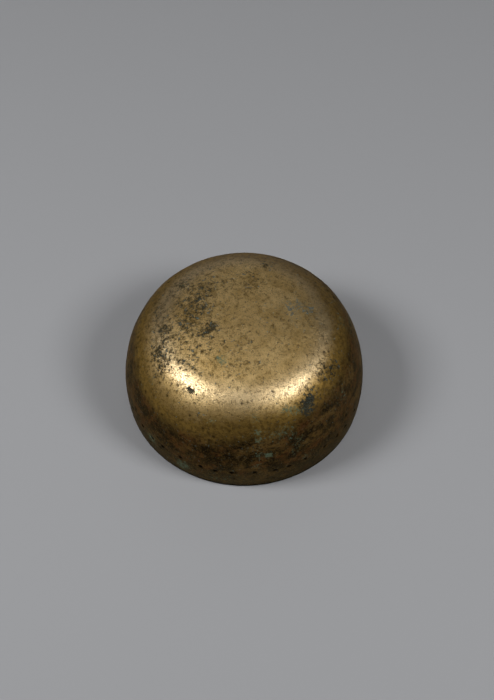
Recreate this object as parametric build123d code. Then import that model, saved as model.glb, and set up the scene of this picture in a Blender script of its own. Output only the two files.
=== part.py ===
"""Hammered bronze singing bowl, stored mouth down.

The bowl is one piece of bell metal, raised from a single disc. It stands on its rim:
z = 0 is the plane of the rim, +Z points up through the crown (the outside of the
bowl's bottom) and the axis of the bowl is the Z axis. Sizes are in millimetres.

The tilt of a point on the profile is the angle between its outward normal and +Z.
"""
from build123d import *
from math import asin, cos, degrees, radians, sin
import os

# ---- outside ------------------------------------------------------------------------
MAX_DIAMETER = 140.0        # across the widest part of the wall
CROWN_RADIUS = 168.0        # arc of the nearly flat crown
SHOULDER_RADIUS = 32.5      # arc of the shoulder between the crown and the wall
CROWN_END = 14.5            # tilt where the crown runs into the shoulder
SHOULDER_END = 68.0         # tilt where the shoulder runs into the wall
WALL_END = 101.0            # tilt at the rim, where the wall turns in a little

# ---- thickness and rim ----------------------------------------------------------------
THICKNESS = 2.4             # crown, shoulder and upper wall
LIP_THICKNESS = 3.6         # the wall thickens inward to this at the rim
LIP_START = 95.0            # tilt where it starts to thicken
RIM_OUTER_ROUND = 1.2       # worn outer edge of the rim
RIM_INNER_ROUND = 0.8       # worn inner edge of the rim

# ---- row of punch marks round the wall --------------------------------------------------
MARK_COUNT = 40
MARK_HEIGHT = 16.8          # height of the row above the rim
MARK_WIDTH = 2.8
MARK_DEPTH = 0.45
MARK_STRAY = 1.6            # degrees that a hand-set mark is off its even place, at most
MARK_DRIFT = 0.5            # the same for its height
STRAY_START = 25.0          # the strays follow a sine wave: its phase at the front, -Y,
STRAY_STEP = 95.5           # and its step from each mark to the next, in degrees

PITCH = 360 / MARK_COUNT
MARK_TOOL_RADIUS = (MARK_WIDTH**2 / 4 + MARK_DEPTH**2) / (2 * MARK_DEPTH)


def arc_run(radius, start, end):
    """Distance gained from the axis while an arc's tilt goes from start to end."""
    return radius * (sin(radians(end)) - sin(radians(start)))


def arc_drop(radius, start, end):
    """Height lost while an arc's tilt goes from start to end."""
    return radius * (cos(radians(start)) - cos(radians(end)))


def on_arc(centre, radius, tilt):
    """Point of an arc at a tilt, in the XZ plane."""
    return Vector(centre.X + radius * sin(radians(tilt)), 0, centre.Z + radius * cos(radians(tilt)))


def arc(centre, radius, start, end):
    """Arc of the profile from one tilt to another, in the XZ plane."""
    tilts = (start, (start + end) / 2, end)
    return ThreePointArc(*[on_arc(centre, radius, tilt) for tilt in tilts])


# The wall's radius is whatever brings its widest point to the full diameter.
WALL_RADIUS = (
    MAX_DIAMETER / 2
    - arc_run(CROWN_RADIUS, 0, CROWN_END)
    - arc_run(SHOULDER_RADIUS, CROWN_END, SHOULDER_END)
) / (1 - sin(radians(SHOULDER_END)))
HEIGHT = (
    arc_drop(CROWN_RADIUS, 0, CROWN_END)
    + arc_drop(SHOULDER_RADIUS, CROWN_END, SHOULDER_END)
    + arc_drop(WALL_RADIUS, SHOULDER_END, WALL_END)
)

# Neighbouring arcs share their normal where they meet, so each centre lies on the last one's.
CROWN_CENTRE = Vector(0, 0, HEIGHT - CROWN_RADIUS)
SHOULDER_CENTRE = on_arc(CROWN_CENTRE, CROWN_RADIUS - SHOULDER_RADIUS, CROWN_END)
WALL_CENTRE = on_arc(SHOULDER_CENTRE, SHOULDER_RADIUS - WALL_RADIUS, SHOULDER_END)


def rim_circles(body):
    """Circles that bound the flat land of the rim, the smallest first."""
    circles = body.edges().filter_by(GeomType.CIRCLE).group_by(Axis.Z)[0]
    return circles.sort_by(SortBy.RADIUS)


def make_body():
    """The bowl without its punch marks: a revolved section with a rounded rim."""
    rim_outer = on_arc(WALL_CENTRE, WALL_RADIUS, WALL_END)
    rim_inner = rim_outer - Vector(LIP_THICKNESS, 0, 0)
    lip_top = on_arc(WALL_CENTRE, WALL_RADIUS - THICKNESS, LIP_START)
    down_the_wall = Vector(cos(radians(LIP_START)), 0, -sin(radians(LIP_START)))
    outline = [
        arc(CROWN_CENTRE, CROWN_RADIUS, 0, CROWN_END),
        arc(SHOULDER_CENTRE, SHOULDER_RADIUS, CROWN_END, SHOULDER_END),
        arc(WALL_CENTRE, WALL_RADIUS, SHOULDER_END, WALL_END),
        Line(rim_outer, rim_inner),
        TangentArc(lip_top, rim_inner, tangent=down_the_wall),
        arc(WALL_CENTRE, WALL_RADIUS - THICKNESS, LIP_START, SHOULDER_END),
        arc(SHOULDER_CENTRE, SHOULDER_RADIUS - THICKNESS, SHOULDER_END, CROWN_END),
        arc(CROWN_CENTRE, CROWN_RADIUS - THICKNESS, CROWN_END, 0),
        Line((0, 0, HEIGHT - THICKNESS), (0, 0, HEIGHT)),
    ]
    section = make_face(outline)
    body = revolve(section, Axis.Z)
    body = fillet(rim_circles(body)[-1], RIM_OUTER_ROUND)
    return fillet(rim_circles(body)[0], RIM_INNER_ROUND)


def mark_tools():
    """Balls that cut the row of punch marks, struck by hand and so slightly uneven."""
    tools = []
    for index in range(-MARK_COUNT // 2, MARK_COUNT // 2):
        phase = radians(STRAY_START + STRAY_STEP * index)
        azimuth = PITCH * (index + 0.5) + MARK_STRAY * sin(phase)
        height = MARK_HEIGHT + MARK_DRIFT * cos(phase)
        tilt = 90 + degrees(asin((WALL_CENTRE.Z - height) / WALL_RADIUS))
        centre = on_arc(WALL_CENTRE, WALL_RADIUS + MARK_TOOL_RADIUS - MARK_DEPTH, tilt)
        ball = Pos(centre.X, 0, centre.Z) * Sphere(MARK_TOOL_RADIUS)
        tools.append(Rot(0, 0, azimuth - 90) * ball)
    return tools


bowl = make_body() - mark_tools()
bowl.label = "bowl"

os.makedirs("parts", exist_ok=True)
export_step(bowl, "parts/bowl.step")

print(f"height {HEIGHT:.2f}  wall radius {WALL_RADIUS:.2f}")
print(f"rim radius {on_arc(WALL_CENTRE, WALL_RADIUS, WALL_END).X:.2f}")
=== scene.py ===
from math import cos, pi, radians, sin

import bpy
import numpy as np
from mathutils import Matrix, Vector


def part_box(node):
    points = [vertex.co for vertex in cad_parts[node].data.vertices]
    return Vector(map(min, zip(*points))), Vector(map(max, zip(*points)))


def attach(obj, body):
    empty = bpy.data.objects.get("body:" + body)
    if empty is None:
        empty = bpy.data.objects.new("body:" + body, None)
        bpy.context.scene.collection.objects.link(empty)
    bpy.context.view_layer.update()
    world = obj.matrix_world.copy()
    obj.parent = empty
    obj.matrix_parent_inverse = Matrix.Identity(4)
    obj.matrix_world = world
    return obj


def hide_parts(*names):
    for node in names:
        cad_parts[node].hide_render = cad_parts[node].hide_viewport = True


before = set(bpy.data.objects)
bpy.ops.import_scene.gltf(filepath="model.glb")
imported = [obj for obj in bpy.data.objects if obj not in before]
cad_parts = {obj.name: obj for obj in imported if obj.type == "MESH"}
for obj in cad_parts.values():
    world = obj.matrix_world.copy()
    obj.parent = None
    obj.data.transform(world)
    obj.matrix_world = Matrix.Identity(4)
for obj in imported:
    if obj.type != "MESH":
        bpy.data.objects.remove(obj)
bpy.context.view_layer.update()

# An aged bronze singing bowl that stands mouth down on a pale sweep. All lengths are in
# metres. MM is one millimetre on the bowl, so that the relief and the patina grow with it.
# A place on the outside is given by its azimuth, in degrees from the front (-Y) and positive
# towards +X, and by its run, the distance from the pole along the surface in MM.

LOW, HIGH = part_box("bowl")
RADIUS = (HIGH.x - LOW.x) / 2
MM = RADIUS / 70

# ---- section of the bowl, as in the CAD part: only the lip starts a little sooner --------
CROWN_RADIUS = 168 * MM
SHOULDER_RADIUS = 32.5 * MM
CROWN_END = radians(14.5)       # tilt of the normal where the crown ends
SHOULDER_END = radians(68)      # tilt where the shoulder ends
WALL_END = radians(101)         # tilt at the rim
THICKNESS = 2.4 * MM
LIP_THICKNESS = 3.6 * MM
LIP_RUN = 9 * MM                # length of wall over which the lip thickens
RIM_OUTER_ROUND = 1.2 * MM
RIM_INNER_ROUND = 0.8 * MM

# ---- mesh ------------------------------------------------------------------------------------
OUTLINE_POINTS = 4801           # where the outline is worked out, before it is cut into rows
CELL = 0.72 * MM                # size of a cell on the outside
INNER_CELL = 2.6 * MM
SEGMENTS = 640                  # round the wall; halved again and again towards the pole
INNER_SEGMENTS = 160
LEAST_SEGMENTS = 20             # round the pole
FULL_SEGMENTS_REACH = 40 * MM   # radius beyond which a row of the outside has all its segments
OUTER_ROUND_ROWS = 5            # over the worn outer edge of the rim
INNER_ROUND_ROWS = 5            # and over the inner one

# ---- row of punch marks: placed as in the CAD part, but each a small crescent --------------
MARK_COUNT = 40
MARK_HEIGHT = 16.8 * MM
MARK_HALF_WIDTH = 1.5 * MM
MARK_HALF_HEIGHT = 1.2 * MM
MARK_DEPTH = 0.45 * MM
MARK_CURL = 0.3                 # how far a mark bends into a crescent
MARK_DIRTY_DEPTH = 0.12         # share of its depth from which a mark is full of dirt
MARK_STRAY = 1.6                # degrees that a mark is off its even place, at most
MARK_DRIFT = 0.5 * MM           # the same for its height
STRAY_START = 25.0              # the strays follow a sine wave: its phase at the front
STRAY_STEP = 95.5               # and its step from each mark to the next, in degrees

# ---- hammer dents and corrosion pits: lengths in MM, azimuths in degrees ----------------------
SEED = 7
DENT_COUNT = 260
DENT_WIDTH = (5.0, 9.0)
DENT_DEPTH = (0.04, 0.12)
DENT_LAST_RUN = 116
INNER_DENTS = 1.5               # how much deeper the dents are on the inside
DENT_FADE = (5, 2)              # they fade out between these distances from the rim
PIT_COUNT = 420
PIT_WIDTH = (0.55, 1.3)
PIT_DEPTH = (0.05, 0.2)
PIT_LAST_RUN = 112
PIT_FLARE = 1.6                 # a pit is this many times as wide as its Gaussian
PIT_AZIMUTH = -70               # where every pit is kept
PIT_LEAST_SHARE = 0.35          # share of the pits kept on the opposite side
PIT_DIRTY_DEPTH = 0.12          # a pit this deep is full of dirt

# ---- wear round the bowl, and painted shade on the rim's edge: runs in MM, angles in radians ---
TARNISH_RUN = 56                # where the tarnish of the wall starts, on average
TARNISH_SWAY = 7                # how much lower it starts at TARNISH_LOWEST
TARNISH_LOWEST = -0.6
TARNISH_RISE = 26               # the tarnish layer grows by 1 over this run
TARNISH_AT_START = 0.45
RUBBED_ANGLE = -0.7             # the front left is rubbed cleaner, so that it starts lower still
RUBBED_WIDTH = 0.45
RUBBED_RUN = 5.5
WORN_RUN = 49                   # middle of the burnished band on the shoulder
WORN_WIDTH = 7
RIM_RISE = 20                   # the rim layer grows by 1 over this run
RIM_MOST = 1.4                  # and is this much at the rim
EDGE_SHADE = (1.5, 3.0)          # painted contact shade on the rim's edge fades out between these heights


def outline():
    """The outer surface from pole to rim, as arrays of run, radius, height and tilt."""
    crown = CROWN_RADIUS * CROWN_END
    shoulder = SHOULDER_RADIUS * (SHOULDER_END - CROWN_END)
    run_in = CROWN_RADIUS * sin(CROWN_END)
    run_in += SHOULDER_RADIUS * (sin(SHOULDER_END) - sin(CROWN_END))
    wall_radius = (RADIUS - run_in) / (1 - sin(SHOULDER_END))
    wall = wall_radius * (WALL_END - SHOULDER_END)
    run = np.linspace(0, crown + shoulder + wall, OUTLINE_POINTS)
    knots = [0, crown, crown + shoulder, crown + shoulder + wall]
    tilt = np.interp(run, knots, [0, CROWN_END, SHOULDER_END, WALL_END])
    step = run[1]
    middle = (tilt[1:] + tilt[:-1]) / 2
    radius = np.concatenate([[0], np.cumsum(np.cos(middle) * step)])
    drop = np.concatenate([[0], np.cumsum(np.sin(middle) * step)])
    return run, radius, drop[-1] - drop, tilt


RUN, RADII, HEIGHTS, TILTS = outline()
HEIGHT = HEIGHTS[0]


def on_outline(run):
    """Radius, height and tilt of the outer surface at a run."""
    return np.interp(run, RUN, RADII), np.interp(run, RUN, HEIGHTS), np.interp(run, RUN, TILTS)


def place(azimuth, run):
    """Point of the outer surface at an azimuth in degrees and a run in MM."""
    radius, height, _ = on_outline(np.asarray(run) * MM)
    angle = np.radians(azimuth)
    return np.stack([radius * np.sin(angle), -radius * np.cos(angle), height], -1)


def smooth(value, low, high):
    """0 below low, 1 above high, and a smooth step between them."""
    t = np.clip((value - low) / (high - low), 0, 1)
    return t * t * (3 - 2 * t)


# ---- the bowl's mesh -----------------------------------------------------------------------
def row_segments(most, radius, full_reach):
    """Segments of a row: the most beyond a radius, and halved for each halving within it."""
    halvings = max(0, np.ceil(np.log2(full_reach / radius)))
    return int(max(most / 2**halvings, LEAST_SEGMENTS))


def bowl_rows():
    """Rows of the closed shell: (segments, radius, height, tilt, run, side of the shell).

    They go from the pole of the outside to the rim, round its worn edges and back up the
    inside. The side is 1 outside and 0 on the rim and the inside, and tells the relief
    and the patina of the two sides apart.
    """
    rows = []
    edge_height = RIM_OUTER_ROUND * (1 + cos(WALL_END))
    edge_run = np.interp(edge_height, HEIGHTS[::-1], RUN[::-1])
    for run in np.linspace(0, edge_run, round(edge_run / CELL) + 1)[1:]:
        radius, height, tilt = on_outline(run)
        segments = row_segments(SEGMENTS, radius, FULL_SEGMENTS_REACH)
        rows.append((segments, radius, height, tilt, run, 1))

    edge_centre = radius - RIM_OUTER_ROUND * sin(tilt)
    for turn in np.linspace(tilt, pi, OUTER_ROUND_ROWS + 1)[1:]:
        edge_radius = edge_centre + RIM_OUTER_ROUND * sin(turn)
        edge_height = RIM_OUTER_ROUND * (1 + cos(turn))
        rows.append((SEGMENTS, edge_radius, edge_height, turn, edge_run, 0))
    inner_radius = RADII[-1] - LIP_THICKNESS
    for turn in np.linspace(pi, 1.5 * pi, INNER_ROUND_ROWS):
        edge_radius = inner_radius + RIM_INNER_ROUND * (1 + sin(turn))
        edge_height = RIM_INNER_ROUND * (1 + cos(turn))
        rows.append((SEGMENTS // 2, edge_radius, edge_height, turn, edge_run, 0))

    lip_fade = RUN[-1] - LIP_RUN
    inner_end = RUN[-1] - RIM_INNER_ROUND - INNER_CELL / 2
    for run in np.linspace(0, inner_end, round(inner_end / INNER_CELL))[:0:-1]:
        radius, height, tilt = on_outline(run)
        thickness = THICKNESS + (LIP_THICKNESS - THICKNESS) * smooth(run, lip_fade, RUN[-1])
        radius -= thickness * sin(tilt)
        height -= thickness * cos(tilt)
        segments = row_segments(INNER_SEGMENTS, radius, FULL_SEGMENTS_REACH / 2)
        rows.append((segments, radius, height, tilt + pi, run, 0))
    return rows


def join_rows(first, count, next_first, next_count):
    """Faces between two neighbouring rows, which have as many segments or half or twice."""
    faces = []
    if count == next_count:
        for k in range(count):
            after = (k + 1) % count
            faces.append((first + k, next_first + k, next_first + after, first + after))
    elif next_count == 2 * count:
        for k in range(count):
            after = (k + 1) % count
            fine = [next_first + (2 * k + i) % next_count for i in range(3)]
            faces.append((first + k, fine[0], fine[1]))
            faces.append((first + k, fine[1], first + after))
            faces.append((first + after, fine[1], fine[2]))
    else:
        faces = [face[::-1] for face in join_rows(next_first, next_count, first, count)]
    return faces


def bowl_grid():
    """Vertices of the shell before any relief, and its faces."""
    rows = bowl_rows()
    counts = [1] + [row[0] for row in rows] + [1]
    firsts = np.concatenate([[0], np.cumsum(counts)])
    azimuth = np.concatenate([[0]] + [np.arange(row[0]) * 2 * pi / row[0] for row in rows] + [[0]])
    columns = []
    # Radius, height, tilt, run and side at the outside's pole and at the inside's.
    poles = ((0, 0), (HEIGHT, HEIGHT - THICKNESS), (0, pi), (0, 0), (1, 0))
    for column, (outer_pole, inner_pole) in enumerate(poles, start=1):
        values = [np.full(row[0], row[column]) for row in rows]
        columns.append(np.concatenate([[outer_pole]] + values + [[inner_pole]]))
    radius, height, tilt, run, outside = columns
    around = np.stack([np.sin(azimuth), -np.cos(azimuth)], -1)
    points = np.column_stack([around * radius[:, None], height])
    normals = np.column_stack([around * np.sin(tilt)[:, None], np.cos(tilt)])

    faces = [(0, 1 + k, 1 + (k + 1) % counts[1]) for k in range(counts[1])]
    for index in range(1, len(rows)):
        faces += join_rows(firsts[index], counts[index], firsts[index + 1], counts[index + 1])
    last = firsts[-2]
    ring = firsts[-3]
    faces += [(last, ring + (k + 1) % counts[-2], ring + k) for k in range(counts[-2])]
    return points, normals, azimuth, run, outside, faces


def spots(points, centres, widths, weights):
    """Sum of round Gaussian spots on the surface, each with its own width and weight."""
    total = np.zeros(len(points))
    for centre, width, weight in zip(centres, widths, weights):
        near = np.nonzero(np.abs(points - centre).max(1) < 3 * width)[0]
        distance = np.linalg.norm(points[near] - centre, axis=1)
        total[near] += weight * np.exp(-((distance / width) ** 2))
    return total


def scatter(random, count, last_run):
    """Azimuths and runs of points spread evenly by area from the pole to a run in MM."""
    fractions = random.random(count)
    covered = (RUN > 0) & (RUN / MM < last_run)
    area = np.cumsum(RADII[covered])
    runs = np.interp(fractions, area / area[-1], RUN[covered] / MM)
    return random.random(count) * 360 - 180, runs


def hammer_dents(random, points):
    """Shallow overlapping dents, as left by raising the bowl with a hammer."""
    azimuths, runs = scatter(random, DENT_COUNT, DENT_LAST_RUN)
    widths = random.uniform(*DENT_WIDTH, DENT_COUNT) * MM
    depths = random.uniform(*DENT_DEPTH, DENT_COUNT) * MM
    return -spots(points, place(azimuths, runs), widths, depths)


def corrosion_pits(random, points):
    """Small pits, thickest on the left of the crown and shoulder."""
    azimuths, runs = scatter(random, PIT_COUNT, PIT_LAST_RUN)
    nearness = 0.5 + 0.5 * np.cos(np.radians(azimuths - PIT_AZIMUTH))
    kept = random.random(PIT_COUNT) < PIT_LEAST_SHARE + (1 - PIT_LEAST_SHARE) * nearness
    widths = random.uniform(*PIT_WIDTH, PIT_COUNT) * MM / PIT_FLARE
    depths = random.uniform(*PIT_DEPTH, PIT_COUNT) * MM * kept
    return -spots(points, place(azimuths, runs), widths, depths)


def punch_marks(azimuth, height):
    """How deep each point lies in a punch mark, from 0 to 1: a row of small crescents."""
    depth = np.zeros(len(azimuth))
    for index in range(-MARK_COUNT // 2, MARK_COUNT // 2):
        phase = radians(STRAY_START + STRAY_STEP * index)
        middle = radians(360 / MARK_COUNT * (index + 0.5) + MARK_STRAY * sin(phase))
        level = MARK_HEIGHT + MARK_DRIFT * cos(phase)
        across = ((azimuth - middle + pi) % (2 * pi) - pi) * RADIUS / MARK_HALF_WIDTH
        up = (height - level) / MARK_HALF_HEIGHT - MARK_CURL * across**2
        depth = np.maximum(depth, 1 - across**2 - up**2)
    return smooth(depth, 0, 1)


# ---- patina: where each layer lies ----------------------------------------------------------
# Each patch is (azimuth, run, half-length round the bowl, half-length up it, strength), in
# degrees and MM.
SPECK_PATCHES = [
    (-100, 38, 24, 16, 0.33), (-60, 40, 14, 14, 0.2), (-30, 20, 12, 12, 0.15), (95, 24, 8, 8, 0.1),
    (-71, 53, 6, 4, 0.8), (-60, 56, 4, 3, 0.6), (-84, 46, 6, 3, 0.6), (-101, 53, 5, 2, 0.7),
    (-112, 58, 5, 2, 0.5), (-128, 47, 3, 3, 0.7), (-119, 30, 8, 4, 0.55), (-112, 23, 5, 2, 0.4),
    (-95, 32, 5, 5, 0.3), (-77, 18, 2, 3, 0.9), (-68, 24, 2, 3, 0.9), (-86, 35, 3, 2, 0.6),
    (-140, 36, 9, 5, 0.4), (0, 14, 3, 4, 0.3), (12, 30, 7, 2, 0.3), (-8, 31, 6, 4, 0.15),
    (-37, 53, 5, 2, 0.5), (-48, 44, 5, 3, 0.35), (34, 50, 8, 5, 0.15), (60, 56, 5, 5, 0.8),
    (66, 60, 4, 3, 0.6), (173, 31, 6, 6, 0.4), (163, 45, 2, 2, 1.0), (40, 62, 7, 4, 0.7),
]
SLATE_PATCHES = [(36, 64, 3.5, 4, 1.2), (41, 61, 2, 4, 0.8), (-36, 53, 3.5, 1.6, 1.05)]
GREEN_PATCHES = [
    (7, 70, 2, 1.5, 0.9), (7, 76, 1.5, 2, 0.8), (12, 88, 1.8, 1.8, 1.2), (7, 87, 2, 2, 0.6),
    (24, 60, 4, 2, 0.8), (30, 63, 4, 2, 0.8), (20, 74, 6, 4, 0.75), (28, 84, 5, 5, 0.55),
    (24, 91, 3, 2, 0.6), (6, 61, 3, 2, 0.6), (-18, 65, 2, 1.5, 0.8), (-26, 29, 3.5, 2.5, 1.05),
    (6, 96, 2, 2, 0.6), (30, 100, 4, 2, 0.6), (-30, 110, 5, 4, 1.2), (114, 78, 5, 3, 0.8),
    (-128, 47, 2, 2, 0.6), (-60, 66, 5, 3, 0.5), (-50, 105, 5, 4, 1.0), (-44, 80, 3, 2, 0.5),
    (98, 60, 4, 3, 0.7), (104, 70, 3, 3, 0.6), (150, 92, 6, 4, 0.6), (-150, 84, 5, 5, 0.5),
    (-110, 98, 7, 3, 0.6), (8, 80, 8, 14, 0.25), (-15, 112, 6, 2, 0.6), (60, 76, 5, 5, 0.5),
    (-6, 110, 5, 3, 0.5),
]
HAZE_PATCHES = [
    (106, 31, 9, 8, 0.8), (98, 42, 7, 6, 0.6), (-140, 30, 9, 5, 0.4), (52, 74, 10, 9, 0.2),
]
BLUE_PATCHES = [
    (107, 28, 5, 2, 0.6), (105, 40, 2, 2, 0.7), (112, 34, 4, 2, 0.6), (-112, 22, 5, 2, 0.3),
]
PATCHES = {
    "specks": SPECK_PATCHES,
    "slate": SLATE_PATCHES,
    "green": GREEN_PATCHES,
    "haze": HAZE_PATCHES,
    "blue": BLUE_PATCHES,
}


def patches(azimuth, run, places):
    """Sum of soft patches, each stretched round or up the bowl."""
    total = np.zeros(len(run))
    radius = np.interp(run, RUN, RADII)
    for middle, middle_run, half_round, half_up, strength in places:
        turn = (azimuth - radians(middle) + pi) % (2 * pi) - pi
        # The patch's own run stands in for half of the radius, to keep its shape by the pole.
        across = turn * (radius + middle_run * MM) / 2 / (half_round * MM)
        up = (run - middle_run * MM) / (half_up * MM)
        total += strength * np.exp(-(across**2 + up**2) / 2)
    return total


def bell(value, middle, width):
    """1 at the middle, and falling smoothly to 0 on both sides."""
    return np.exp(-(((value - middle) / width) ** 2))


def tarnish_layer(azimuth, run):
    """How far the tarnish of the wall has come: it rises with the run, and starts unevenly."""
    start = TARNISH_RUN + TARNISH_SWAY * np.cos(azimuth - TARNISH_LOWEST)
    start += RUBBED_RUN * bell(azimuth, RUBBED_ANGLE, RUBBED_WIDTH)
    return (run / MM - start) / TARNISH_RISE + TARNISH_AT_START


def add_layer(mesh, name, values):
    """Stores a value per vertex for the material to read."""
    attribute = mesh.attributes.new(name, "FLOAT", "POINT")
    attribute.data.foreach_set("value", np.asarray(values, dtype=np.float32))


def make_bowl():
    """The bowl's shell with its relief, the places of its patina and the painted shade of its
    rim's edge.
    """
    random = np.random.default_rng(SEED)
    points, normals, azimuth, run, outside, faces = bowl_grid()
    azimuth = (azimuth + pi) % (2 * pi) - pi        # from -pi to pi, 0 at the front
    dents = hammer_dents(random, points)
    pits = corrosion_pits(random, points)
    marks = punch_marks(azimuth, points[:, 2])
    fade_start, fade_end = (RUN[-1] - distance * MM for distance in DENT_FADE)
    dents *= 1 - smooth(run, fade_start, fade_end)
    out_relief = (dents + pits - MARK_DEPTH * marks) * outside
    in_relief = dents * INNER_DENTS * (1 - outside)
    points = points + normals * (out_relief + in_relief)[:, None]

    mesh = bpy.data.meshes.new("bronze_bowl")
    mesh.from_pydata(points.tolist(), [], faces)
    mesh.update()
    mesh.polygons.foreach_set("use_smooth", np.ones(len(mesh.polygons), dtype=bool))

    rim = np.maximum(0, (run - RUN[-1]) / (RIM_RISE * MM) + RIM_MOST)
    add_layer(mesh, "tarnish", tarnish_layer(azimuth, run))
    add_layer(mesh, "worn", bell(run / MM, WORN_RUN, WORN_WIDTH) * outside)
    add_layer(mesh, "rim", rim * outside)
    add_layer(mesh, "hollow", np.clip(-pits / (PIT_DIRTY_DEPTH * MM), 0, 1) * outside)
    add_layer(mesh, "mark", smooth(marks, 0, MARK_DIRTY_DEPTH) * outside)
    # Painted contact shade: the lowest few MM of the shell, inside and out, are darkened towards
    # the floor.
    add_layer(mesh, "edge", 1 - smooth(points[:, 2] / MM, *EDGE_SHADE))
    for name, places in PATCHES.items():
        add_layer(mesh, name, patches(azimuth, run, places) * outside)

    bowl = bpy.data.objects.new("bronze_bowl", mesh)
    bpy.context.scene.collection.objects.link(bowl)
    mesh.materials.append(bronze_material())
    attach(bowl, "root")
    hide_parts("bowl")


# ---- materials -------------------------------------------------------------------------------
class Graph:
    """A material's node tree, with a short call for each kind of node that is used."""

    def __init__(self, name):
        self.material = bpy.data.materials.new(name)
        self.material.use_nodes = True
        self.tree = self.material.node_tree
        self.shader = self.tree.nodes["Principled BSDF"]
        self.position = self.node("ShaderNodeTexCoord").outputs["Object"]

    def node(self, kind, **settings):
        node = self.tree.nodes.new(kind)
        for name, value in settings.items():
            setattr(node, name, value)
        return node

    def feed(self, socket, value):
        """Links a socket to another one, or sets its own value."""
        if isinstance(value, bpy.types.NodeSocket):
            self.tree.links.new(value, socket)
        else:
            socket.default_value = value

    def layer(self, name):
        return self.node("ShaderNodeAttribute", attribute_name=name).outputs["Fac"]

    def noise(self, size, detail=4.0, roughness=0.55, stretch=(1, 1, 1)):
        """Fractal noise from 0 to 1 whose largest lumps are about size MM across."""
        mapping = self.node("ShaderNodeMapping")
        self.feed(mapping.inputs["Vector"], self.position)
        mapping.inputs["Scale"].default_value = stretch
        noise = self.node("ShaderNodeTexNoise")
        self.feed(noise.inputs["Vector"], mapping.outputs["Vector"])
        noise.inputs["Scale"].default_value = 1 / (size * MM)
        noise.inputs["Detail"].default_value = detail
        noise.inputs["Roughness"].default_value = roughness
        return noise.outputs[0]

    def math(self, operation, first, second):
        node = self.node("ShaderNodeMath", operation=operation)
        self.feed(node.inputs[0], first)
        self.feed(node.inputs[1], second)
        return node.outputs[0]

    def most(self, first, second):
        return self.math("MAXIMUM", first, second)

    def plus(self, first, second):
        return self.math("ADD", first, second)

    def times(self, first, second):
        return self.math("MULTIPLY", first, second)

    def step(self, value, low, high, to_low=0.0, to_high=1.0):
        """Smooth step of a value from low to high."""
        node = self.node("ShaderNodeMapRange", interpolation_type="SMOOTHSTEP")
        self.feed(node.inputs["Value"], value)
        node.inputs["From Min"].default_value = low
        node.inputs["From Max"].default_value = high
        node.inputs["To Min"].default_value = to_low
        node.inputs["To Max"].default_value = to_high
        return node.outputs["Result"]

    def mix(self, amount, first, second, kind="RGBA"):
        node = self.node("ShaderNodeMix", data_type=kind)
        sockets = [s for s in node.inputs if s.enabled]
        for socket, value in zip(sockets, (amount, first, second)):
            if isinstance(value, tuple):
                value = (*value, 1.0)
            self.feed(socket, value)
        return next(s for s in node.outputs if s.enabled)

    def blend(self, amount, first, second):
        return self.mix(amount, first, second, "FLOAT")

    def bump(self, height, strength, distance):
        node = self.node("ShaderNodeBump")
        self.feed(node.inputs["Height"], height)
        node.inputs["Strength"].default_value = strength
        node.inputs["Distance"].default_value = distance
        return node.outputs["Normal"]


# Colours of the metal, brightest first, of what lies on it, of the shade painted on the rim's
# edge, and of the floor.
POLISHED = (0.92, 0.78, 0.57)
GOLD = (0.82, 0.585, 0.26)
BRONZE = (0.62, 0.42, 0.16)
OLIVE = (0.36, 0.222, 0.052)
STAIN = (0.17, 0.105, 0.026)
RUSSET = (0.235, 0.142, 0.042)
UMBER = (0.110, 0.060, 0.017)
RED_BROWN = (0.140, 0.056, 0.016)
CHOCOLATE = (0.018, 0.010, 0.004)
RIM_BROWN = (0.048, 0.037, 0.018)
SPECK_BROWN = (0.060, 0.045, 0.018)
SLATE_BLACK = (0.022, 0.020, 0.012)
# Dark dirt in deep pits and punch marks, and also the painted contact shade of the rim's edge.
GRIME_AND_EDGE_SHADE = (0.010, 0.008, 0.005)
SLATE_BLUE = (0.060, 0.075, 0.065)
VERDIGRIS = (0.150, 0.200, 0.120)
DUST_BLUE = (0.20, 0.29, 0.29)
HAZE = (0.30, 0.27, 0.18)
PAPER = (0.42, 0.425, 0.44)


# Fractal noise varies about 0.5, so the limits of the steps below lie about there.
def bare_metal(g):
    """Handled bronze: soft clouds, brown grain and small dark stains. Colour only."""
    clouds = g.plus(g.times(g.noise(22, 2.0), 0.6), g.times(g.noise(7, 4.0), 0.4))
    colour = g.mix(g.step(clouds, 0.40, 0.60), BRONZE, GOLD)
    colour = g.mix(g.step(g.noise(3.2, 6.0, 0.7), 0.50, 0.74, 0.0, 0.6), colour, STAIN)
    return g.mix(g.step(g.noise(0.8, 3.0, 0.7), 0.48, 0.74, 0.0, 0.7), colour, STAIN)


def wall_tarnish(g, depth):
    """Oxide of the wall, olive at its upper edge, then umber with red and near-black clouds."""
    broad = g.noise(20, 4.0, 0.6, (1, 1, 1.5))
    middle = g.noise(9, 5.0, 0.62, (1, 1, 1.5))
    small = g.noise(2.2, 5.0, 0.7, (1, 1, 1.2))
    colour = g.mix(g.step(middle, 0.42, 0.60), UMBER, RED_BROWN)
    rubbed = g.step(g.plus(g.times(broad, 0.75), g.times(small, 0.25)), 0.46, 0.60, 0.0, 0.8)
    colour = g.mix(rubbed, colour, RUSSET)
    dark = g.step(g.plus(g.times(broad, 0.25), g.times(middle, 0.75)), 0.42, 0.56, 1.0, 0.0)
    colour = g.mix(dark, colour, CHOCOLATE)
    colour = g.mix(g.step(small, 0.46, 0.60, 0.0, 0.75), colour, CHOCOLATE)
    rim = g.layer("rim")
    rim_brown = g.times(g.step(rim, 0.0, 1.0), g.step(middle, 0.35, 0.6, 0.95, 0.6))
    colour = g.mix(rim_brown, colour, RIM_BROWN)
    colour = g.mix(g.step(g.plus(rim, middle), 1.5, 1.9, 0.0, 0.75), colour, CHOCOLATE)
    colour = g.mix(g.step(g.noise(1.0, 3.0, 0.7), 0.50, 0.68, 0.0, 0.5), colour, RUSSET)
    olive = g.mix(g.step(small, 0.46, 0.60, 0.0, 0.6), OLIVE, UMBER)
    return g.mix(depth, olive, colour)


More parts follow.
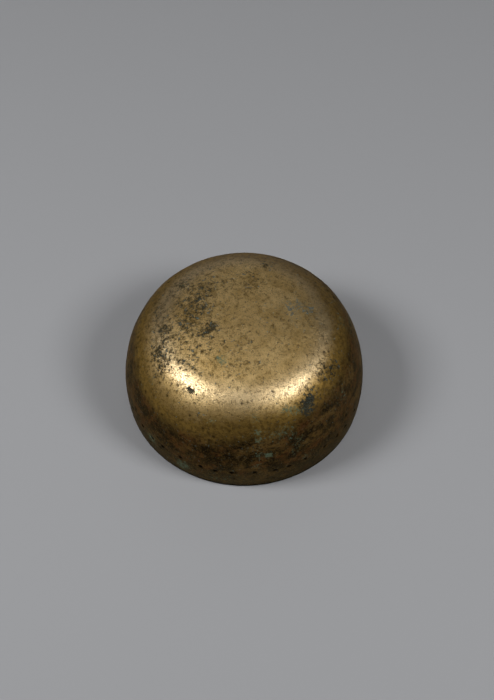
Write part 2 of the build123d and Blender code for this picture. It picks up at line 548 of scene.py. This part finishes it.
def round_pits(g, size, share, reach):
    """Scattered round pits: 1 in a pit, 0 round it. Only some cells hold one."""
    cells = g.node("ShaderNodeTexVoronoi")
    g.feed(cells.inputs["Vector"], g.position)
    cells.inputs["Scale"].default_value = 1 / (size * MM)
    lucky = g.node("ShaderNodeSeparateColor")
    g.feed(lucky.inputs["Color"], cells.outputs["Color"])
    chosen = g.step(lucky.outputs["Red"], 1 - share, 1 - share + 0.01)
    return g.times(g.step(cells.outputs["Distance"], reach * 0.6, reach, 1.0, 0.0), chosen)


def tarnished_metal(g, ragged, worn):
    """Bare metal that runs out under the tarnish of the wall. Its colour, and how tarnished."""
    uneven = g.plus(g.times(g.noise(18, 2.0), 0.30), g.times(g.noise(7, 4.0, 0.65), 0.42))
    reach = g.plus(g.layer("tarnish"), g.plus(uneven, g.times(ragged, 0.26)))
    tarnish = g.step(reach, 0.60, 1.12)
    bare = g.mix(g.times(worn, 0.25), bare_metal(g), POLISHED)
    wall = wall_tarnish(g, g.step(reach, 1.12, 1.60))
    return g.mix(tarnish, bare, wall), tarnish


def add_specks(g, colour, ragged, crumbly):
    """Brown stains, and clustered specks with slate and pale blue hearts. Adds where they are."""
    speckled = g.layer("specks")
    stain = g.step(g.plus(ragged, g.times(speckled, 0.14)), 0.49, 0.66, 0.0, 0.8)
    colour = g.mix(stain, colour, STAIN)
    broken = g.plus(g.times(ragged, 0.5), g.times(crumbly, 0.5))
    specks = g.step(g.plus(broken, g.times(speckled, 0.10)), 0.580, 0.605)
    speck_colour = g.mix(g.step(crumbly, 0.40, 0.52), SPECK_BROWN, SLATE_BLACK)
    speck_colour = g.mix(g.step(crumbly, 0.55, 0.60), speck_colour, SLATE_BLUE)
    speck_colour = g.mix(g.step(crumbly, 0.62, 0.66), speck_colour, DUST_BLUE)
    return g.mix(g.times(specks, 0.9), colour, speck_colour), specks


def add_pits(g, colour, worn):
    """Round dark pits of three sizes, the smallest in the burnished band."""
    pits = g.most(round_pits(g, 3.4, 0.30, 0.14), round_pits(g, 1.7, 0.25, 0.20))
    pits = g.most(pits, g.times(round_pits(g, 1.2, 0.45, 0.24), worn))
    return g.mix(g.times(pits, 0.75), colour, SLATE_BLACK), pits


def add_corrosion(g, colour, ragged, crumbly, fine):
    """Slate, verdigris and pale blue dust. Adds where the first two are crusty."""
    slate = g.step(g.plus(ragged, g.times(g.layer("slate"), 0.24)), 0.64, 0.70)
    slate_colour = g.mix(g.step(fine, 0.42, 0.60), SLATE_BLACK, SLATE_BLUE)
    colour = g.mix(g.times(slate, 0.9), colour, slate_colour)
    green = g.step(g.plus(crumbly, g.times(g.layer("green"), 0.22)), 0.62, 0.76)
    colour = g.mix(g.times(green, 0.8), colour, VERDIGRIS)
    blue = g.step(g.plus(crumbly, g.times(g.layer("blue"), 0.34)), 0.62, 0.76)
    return g.mix(g.times(blue, 0.7), colour, DUST_BLUE), g.most(slate, green)


def bronze_material():
    """Bronze worn bright on the crown, under tarnish, dark specks, slate and verdigris, with
    painted shade at the rim's edge.
    """
    g = Graph("aged_bronze")
    ragged = g.noise(2.6, 7.0, 0.80)
    crumbly = g.noise(1.5, 5.0, 0.72)
    fine = g.noise(0.8, 4.0, 0.75)
    grain = g.noise(0.4, 2.0, 0.6)
    worn = g.layer("worn")

    colour, tarnish = tarnished_metal(g, ragged, worn)
    haze = g.times(g.layer("haze"), g.step(crumbly, 0.35, 0.65))
    colour = g.mix(g.times(haze, 0.5), colour, HAZE)
    colour, specks = add_specks(g, colour, ragged, crumbly)
    colour, pits = add_pits(g, colour, worn)
    colour, corrosion = add_corrosion(g, colour, ragged, crumbly, fine)
    # Dirt in pits and punch marks, and painted contact shade on the rim's edge, turn dark and
    # rough together.
    dirt_and_edge_shade = g.most(g.times(g.layer("hollow"), 0.8), g.layer("mark"))
    dirt_and_edge_shade = g.most(dirt_and_edge_shade, g.times(g.layer("edge"), 0.9))
    colour = g.mix(dirt_and_edge_shade, colour, GRIME_AND_EDGE_SHADE)

    crust = g.most(g.times(specks, 0.8), corrosion)
    metal = g.blend(crust, 1.0, 0.4)
    handled = g.step(fine, 0.35, 0.65, 0.36, 0.66)
    burnished = g.step(fine, 0.36, 0.65, 0.28, 0.64)
    rough = g.blend(tarnish, g.blend(worn, handled, burnished), 0.55)
    rough = g.blend(g.most(crust, dirt_and_edge_shade), rough, 0.85)
    gloss = g.times(worn, g.step(fine, 0.38, 0.62, 1.0, 0.35))
    gloss = g.times(gloss, g.step(crust, 0.0, 0.5, 1.0, 0.0))
    relief = g.plus(g.times(fine, 0.7), g.times(grain, 0.4))
    relief = g.plus(relief, g.times(g.plus(specks, pits), -0.6))

    g.feed(g.shader.inputs["Base Color"], colour)
    g.feed(g.shader.inputs["Roughness"], rough)
    g.feed(g.shader.inputs["Metallic"], metal)
    g.feed(g.shader.inputs["Coat Weight"], gloss)
    g.feed(g.shader.inputs["Normal"], g.bump(relief, 0.7, 0.14 * MM))
    g.shader.inputs["Specular IOR Level"].default_value = 0.3
    g.shader.inputs["Specular Tint"].default_value = (0.90, 0.82, 0.66, 1)
    g.shader.inputs["Coat Roughness"].default_value = 0.33
    return g.material


def floor_material():
    """Matt pale grey paper."""
    g = Graph("pale_paper")
    g.shader.inputs["Base Color"].default_value = (*PAPER, 1)
    g.shader.inputs["Roughness"].default_value = 0.9
    return g.material


# ---- studio ----------------------------------------------------------------------------------
CAMERA_ELEVATION = radians(56)
CAMERA_DISTANCE = 18 * RADIUS
CAMERA_LENS = 111.2
CAMERA_SENSOR = 36
AIM_RIGHT = 1.66 * MM           # where the camera aims, from the middle of the bowl
AIM_UP = 2.18 * MM

# Softboxes: angles in degrees, power in watts.
LEFT_AZIMUTH = -78
RIGHT_AZIMUTH = 64
SIDE_ELEVATION = 50
SIDE_DISTANCE = 1.15
SIDE_SIZE = 0.38
LEFT_POWER = 6.3
RIGHT_POWER = 5.4
FILL_DISTANCE = 1.5             # of the two weak ones, behind and almost overhead
BACK_ELEVATION = 40
BACK_SIZE = 1.3
BACK_POWER = 1.1
FRONT_ELEVATION = 80
FRONT_SIZE = 0.5
FRONT_POWER = 0.9
SKY = 0.002                     # grey of the surround as a light
SKY_SEEN = 0.22                 # and as it is seen beyond the floor


def make_camera():
    """Long lens that looks down on the bowl from the front."""
    back = Vector((0, -cos(CAMERA_ELEVATION), sin(CAMERA_ELEVATION)))
    up = Vector((0, sin(CAMERA_ELEVATION), cos(CAMERA_ELEVATION)))
    aim = Vector((AIM_RIGHT, 0, HEIGHT / 2)) + up * AIM_UP
    lens = bpy.data.cameras.new("camera")
    lens.sensor_width = CAMERA_SENSOR
    lens.lens = CAMERA_LENS
    camera = bpy.data.objects.new("camera", lens)
    camera.location = aim + back * CAMERA_DISTANCE
    camera.rotation_euler = back.to_track_quat("Z", "Y").to_euler()
    bpy.context.scene.collection.objects.link(camera)
    bpy.context.scene.camera = camera


def make_softbox(name, azimuth, elevation, distance, size, power):
    """Square softbox that faces the bowl."""
    lamp = bpy.data.lights.new(name, "AREA")
    lamp.size = size
    lamp.energy = power
    light = bpy.data.objects.new(name, lamp)
    a, e = radians(azimuth), radians(elevation)
    back = Vector((sin(a) * cos(e), -cos(a) * cos(e), sin(e)))
    light.location = Vector((0, 0, HEIGHT / 2)) + back * distance
    light.rotation_euler = back.to_track_quat("Z", "Y").to_euler()
    bpy.context.scene.collection.objects.link(light)


def make_floor():
    """Seamless sweep: flat under the bowl and curved up far behind it."""
    half_width, front, bend, radius, top = 1.2, -1.2, 0.9, 0.6, 1.6
    line = [(front, 0), (bend, 0)]
    steps = 16
    for index in range(1, steps + 1):
        turn = index / steps * pi / 2
        line.append((bend + radius * sin(turn), radius * (1 - cos(turn))))
    line.append((bend + radius, top))
    points = [(x, y, z) for y, z in line for x in (-half_width, half_width)]
    faces = [(2 * i, 2 * i + 1, 2 * i + 3, 2 * i + 2) for i in range(len(line) - 1)]
    mesh = bpy.data.meshes.new("sweep")
    mesh.from_pydata(points, [], faces)
    mesh.polygons.foreach_set("use_smooth", np.ones(len(faces), dtype=bool))
    mesh.materials.append(floor_material())
    sweep = bpy.data.objects.new("sweep", mesh)
    bpy.context.scene.collection.objects.link(sweep)


def make_studio():
    """Two softboxes at the sides, two weak ones behind and overhead, and a dim surround."""
    side = (SIDE_ELEVATION, SIDE_DISTANCE, SIDE_SIZE)
    make_softbox("softbox_left", LEFT_AZIMUTH, *side, LEFT_POWER)
    make_softbox("softbox_right", RIGHT_AZIMUTH, *side, RIGHT_POWER)
    make_softbox("softbox_back", 180, BACK_ELEVATION, FILL_DISTANCE, BACK_SIZE, BACK_POWER)
    make_softbox("softbox_front", 0, FRONT_ELEVATION, FILL_DISTANCE, FRONT_SIZE, FRONT_POWER)
    world = bpy.data.worlds.new("surround")
    world.use_nodes = True
    tree = world.node_tree
    seen = tree.nodes.new("ShaderNodeLightPath").outputs["Is Camera Ray"]
    level = tree.nodes.new("ShaderNodeMapRange")
    level.inputs["To Min"].default_value = SKY
    level.inputs["To Max"].default_value = SKY_SEEN
    tree.links.new(seen, level.inputs["Value"])
    tree.links.new(level.outputs["Result"], tree.nodes["Background"].inputs["Color"])
    bpy.context.scene.world = world
    bpy.context.scene.view_settings.view_transform = "Standard"


make_camera()
make_bowl()
make_floor()
make_studio()
